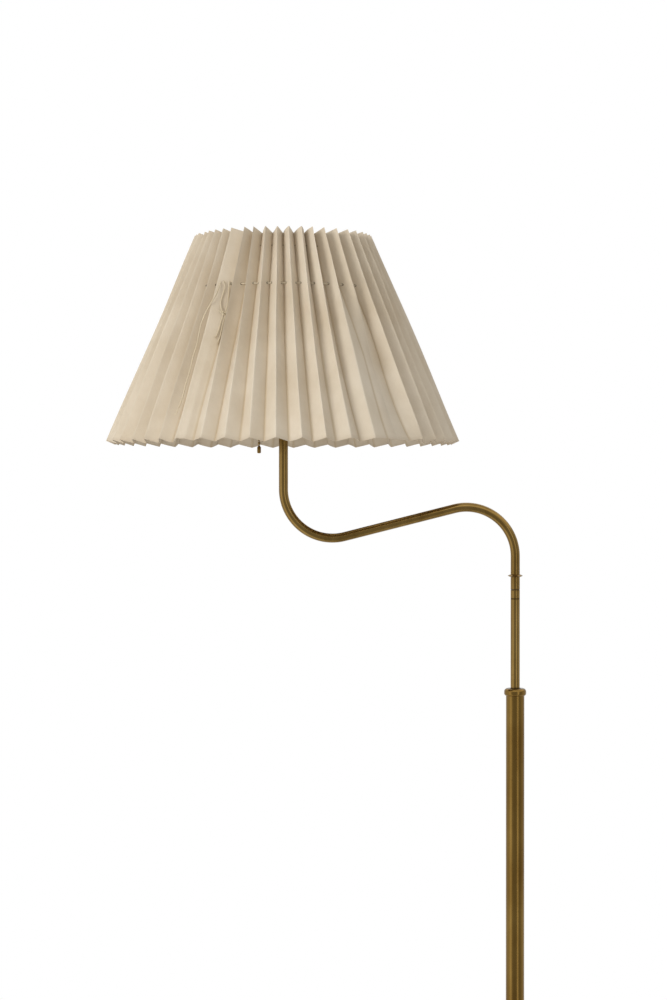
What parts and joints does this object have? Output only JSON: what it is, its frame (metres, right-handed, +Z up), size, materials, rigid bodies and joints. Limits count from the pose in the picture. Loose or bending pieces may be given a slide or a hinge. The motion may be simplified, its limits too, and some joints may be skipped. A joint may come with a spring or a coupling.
{
  "type": "bridge floor lamp",
  "caption": "Brass bridge floor lamp with a round weighted foot, a sliding stem, a swivelling S-shaped arm, a pull switch and a pleated shade gathered on a drawstring",
  "frame": {"origin": "middle of the base's underside, on the floor, on the stem's axis", "axes": "+Z up along the stem, -X along the arm to the shade at rest, -Y towards the side with the drawstring's tie, +Y towards the lead's bush"},
  "size_m": [0.5736, 0.3838, 1.4],
  "materials": {
    "aged_brass": "satin",
    "bright_brass": "satin",
    "cream_card": "matte",
    "cream_cotton": "matte",
    "dark_felt": "matte",
    "grey_iron": "matte",
    "zinc_steel": "satin",
    "black_plastic": "matte",
    "pale_nylon": "matte",
    "white_porcelain": "gloss",
    "solder_tin": "satin",
    "cap_aluminium": "satin",
    "black_glass": "gloss",
    "frosted_glass": "satin",
    "white_enamel": "gloss"
  },
  "bodies": {
    "base": {"base_felt": "dark_felt", "base_shell": "aged_brass", "cord_gland": "black_plastic", "base_weight": "grey_iron", "stem_ferrule": "aged_brass", "stem_foot": "zinc_steel", "foot_washer": "zinc_steel", "foot_nut": "zinc_steel", "stem_tube": "aged_brass", "friction_bush": "pale_nylon", "stem_collar": "aged_brass"},
    "stem": {"inner_tube": "bright_brass", "guide_bush": "pale_nylon", "swivel_lower": "bright_brass", "swivel_washer": "pale_nylon", "pivot_nut": "zinc_steel"},
    "arm": {"swivel_upper": "bright_brass", "arm_tube": "bright_brass", "holder_locknut": "aged_brass", "holder_cap": "aged_brass", "switch_block": "black_plastic", "holder_core": "white_porcelain", "centre_contact": "bright_brass", "screw_shell": "bright_brass", "holder_skirt": "aged_brass", "shade_ring_lower": "aged_brass", "shade_ring_upper": "aged_brass", "pull_guide": "aged_brass", "bulb_contact": "solder_tin", "bulb_insulator": "black_glass", "bulb_cap": "cap_aluminium", "bulb_glass": "frosted_glass", "shade_pleats": "cream_card", "drawstring": "cream_cotton", "tie_left": "cream_cotton", "tie_right": "cream_cotton", "tie_tail": "cream_cotton", "tie_knot": "cream_cotton", "carrier_washer": "white_enamel", "carrier_ring": "white_enamel", "carrier_struts": "white_enamel"},
    "pull": {"pull_chain": "bright_brass", "pull_end": "aged_brass"}
  },
  "joints": [
    {"name": "stem_slide", "type": "slide", "parent": "base", "child": "stem", "axis": [0, 0, 1], "range_m": [-0.095, 0.15]},
    {"name": "arm_swivel", "type": "hinge", "parent": "stem", "child": "arm", "pos_m": [0, 0, 1.016], "axis": [0, 0, 1], "range_deg": [-170, 170]},
    {"name": "pull_switch", "type": "slide", "parent": "arm", "child": "pull", "axis": [0, 0, -1], "range_m": [0, 0.008], "stiffness_N_per_m": 150}
  ]
}
